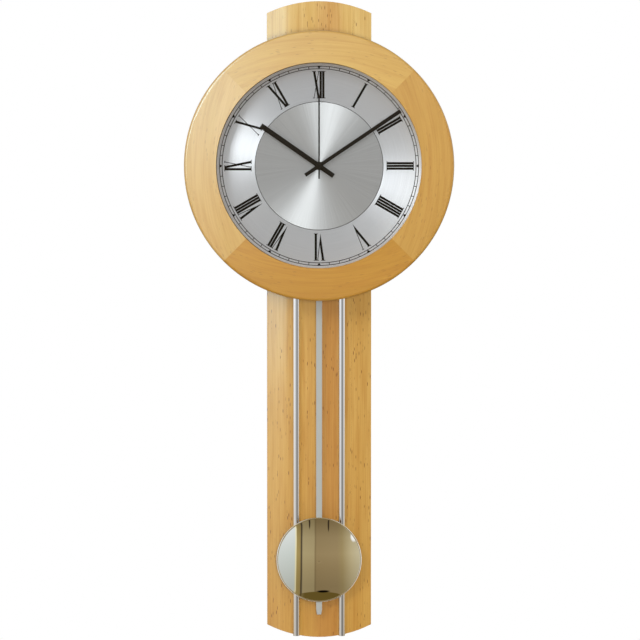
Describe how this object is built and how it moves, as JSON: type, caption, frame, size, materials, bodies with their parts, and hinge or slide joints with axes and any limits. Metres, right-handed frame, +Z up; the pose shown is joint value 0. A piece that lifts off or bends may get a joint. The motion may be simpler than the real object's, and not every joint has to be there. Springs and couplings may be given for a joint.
{
  "type": "radio-controlled pendulum wall clock",
  "caption": "Wall clock with a round beech head on a bowed beech back panel, Roman dial under glass, radio-set movement, and a chrome-bob pendulum between chrome rods.",
  "frame": {"origin": "centre of the round part of the hanger plate's keyhole, on the wall plane", "axes": "+X to the right seen from the front, +Z up, +Y into the wall; the clock stands out from the wall along -Y"},
  "size_m": [0.25, 0.0899, 0.6],
  "materials": {
    "beech": "clear satin lacquer",
    "board_wood": "plain sanded",
    "fibreboard": "plain",
    "felt": "pressed felt",
    "hanger_steel": "zinc plated",
    "screw_steel": "yellow zinc",
    "glass": "flat mineral glass",
    "white_plastic": "moulded",
    "dial_aluminium": "circular brushed",
    "disc_aluminium": "sunray brushed",
    "black_print": "screen print",
    "hand_black": "satin black",
    "black_plastic": "moulded",
    "grey_plastic": "moulded",
    "gear_plastic": "moulded acetal",
    "rotor_plastic": "moulded, with a pressed magnet",
    "brass": "turned",
    "stator_steel": "stamped",
    "copper_winding": "enamelled wire",
    "circuit_green": "solder mask",
    "ferrite": "sintered",
    "battery_steel": "plain sleeve",
    "magnet_nickel": "nickel plated",
    "strip_aluminium": "satin silver",
    "chrome": "mirror"
  },
  "bodies": {
    "clock_body": {"back_panel": "beech", "upper_batten": "board_wood", "lower_batten": "board_wood", "hanger_plate": "hanger_steel", "hanger_screws": "screw_steel", "wall_pads": "felt", "upper_saddle": "board_wood", "lower_saddle": "board_wood", "saddle_screws": "screw_steel", "back_board": "board_wood", "head_drum": "beech", "head_screws": "screw_steel", "ring_segment_top": "beech", "ring_segment_right": "beech", "ring_segment_bottom": "beech", "ring_segment_left": "beech", "glass": "glass", "glass_spacer": "white_plastic", "dial_board": "fibreboard", "dial_plate": "dial_aluminium", "dial_centre_disc": "disc_aluminium", "numerals": "black_print", "minute_track": "black_print", "movement_case": "black_plastic", "movement_cover": "black_plastic", "case_screws": "screw_steel", "shaft_bush": "brass", "gear_plate": "brass", "motor_stators": "stator_steel", "motor_coils": "copper_winding", "circuit_board": "circuit_green", "antenna_rod": "ferrite", "antenna_coil": "copper_winding", "battery": "battery_steel", "battery_contacts": "hanger_steel", "drive_coil": "copper_winding", "pivot_pin": "hanger_steel", "side_rods": "chrome", "rod_spacers": "chrome", "rod_screws": "screw_steel"},
    "second_hand": {"second_hand": "hand_black", "seconds_wheel": "gear_plastic"},
    "seconds_idler": {"seconds_idler": "gear_plastic"},
    "seconds_rotor": {"seconds_rotor": "rotor_plastic"},
    "minute_hand": {"minute_hand": "hand_black", "minute_wheel": "gear_plastic"},
    "minute_idler": {"minute_idler": "gear_plastic"},
    "minute_rotor": {"minute_rotor": "rotor_plastic"},
    "motion_wheel": {"motion_wheel": "gear_plastic"},
    "hour_hand": {"hour_hand": "hand_black", "hour_wheel": "gear_plastic"},
    "pendulum": {"pendulum_hanger": "black_plastic", "hanger_magnet": "magnet_nickel", "pendulum_strip": "strip_aluminium", "bob_shell": "chrome", "bob_back": "hanger_steel", "bob_clip": "hanger_steel"},
    "set_button": {"set_button": "grey_plastic"},
    "reset_button": {"reset_button": "grey_plastic"},
    "signal_button": {"signal_button": "grey_plastic"}
  },
  "joints": [
    {"name": "second_hand_turn", "type": "hinge", "parent": "clock_body", "child": "second_hand", "pos_m": [0, -0.075, -0.085], "axis": [0, 1, 0], "continuous": true},
    {"name": "seconds_idler_spin", "type": "hinge", "parent": "clock_body", "child": "seconds_idler", "pos_m": [0.01128, -0.0572, -0.0891], "axis": [0, 1, 0], "continuous": true},
    {"name": "seconds_rotor_spin", "type": "hinge", "parent": "clock_body", "child": "seconds_rotor", "pos_m": [0.01322, -0.056, -0.10013], "axis": [0, 1, 0], "continuous": true},
    {"name": "minute_hand_turn", "type": "hinge", "parent": "clock_body", "child": "minute_hand", "pos_m": [0, -0.07, -0.085], "axis": [0, 1, 0], "continuous": true},
    {"name": "minute_idler_spin", "type": "hinge", "parent": "clock_body", "child": "minute_idler", "pos_m": [-0.01128, -0.062, -0.0891], "axis": [0, 1, 0], "continuous": true},
    {"name": "minute_rotor_spin", "type": "hinge", "parent": "clock_body", "child": "minute_rotor", "pos_m": [-0.01322, -0.056, -0.10013], "axis": [0, 1, 0], "continuous": true},
    {"name": "motion_wheel_spin", "type": "hinge", "parent": "clock_body", "child": "motion_wheel", "pos_m": [0, -0.064, -0.0724], "axis": [0, 1, 0], "continuous": true},
    {"name": "hour_hand_turn", "type": "hinge", "parent": "clock_body", "child": "hour_hand", "pos_m": [0, -0.07, -0.085], "axis": [0, 1, 0], "continuous": true},
    {"name": "pendulum_swing", "type": "hinge", "parent": "clock_body", "child": "pendulum", "pos_m": [0, -0.047, -0.111], "axis": [0, 1, 0], "range_deg": [-4, 4]},
    {"name": "set_button_press", "type": "slide", "parent": "clock_body", "child": "set_button", "axis": [0, -1, 0], "range_m": [0, 0.0008], "stiffness_N_per_m": 400, "springref_m": -0.001},
    {"name": "reset_button_press", "type": "slide", "parent": "clock_body", "child": "reset_button", "axis": [0, -1, 0], "range_m": [0, 0.0008], "stiffness_N_per_m": 400, "springref_m": -0.001},
    {"name": "signal_button_press", "type": "slide", "parent": "clock_body", "child": "signal_button", "axis": [0, -1, 0], "range_m": [0, 0.0008], "stiffness_N_per_m": 400, "springref_m": -0.001}
  ],
  "couplings": [
    {"joint": "seconds_idler_spin", "follows": "second_hand_turn", "ratio": -5},
    {"joint": "seconds_rotor_spin", "follows": "second_hand_turn", "ratio": 30},
    {"joint": "minute_idler_spin", "follows": "minute_hand_turn", "ratio": -5},
    {"joint": "minute_rotor_spin", "follows": "minute_hand_turn", "ratio": 30},
    {"joint": "motion_wheel_spin", "follows": "minute_hand_turn", "ratio": -0.33333},
    {"joint": "hour_hand_turn", "follows": "minute_hand_turn", "ratio": 0.083333}
  ]
}
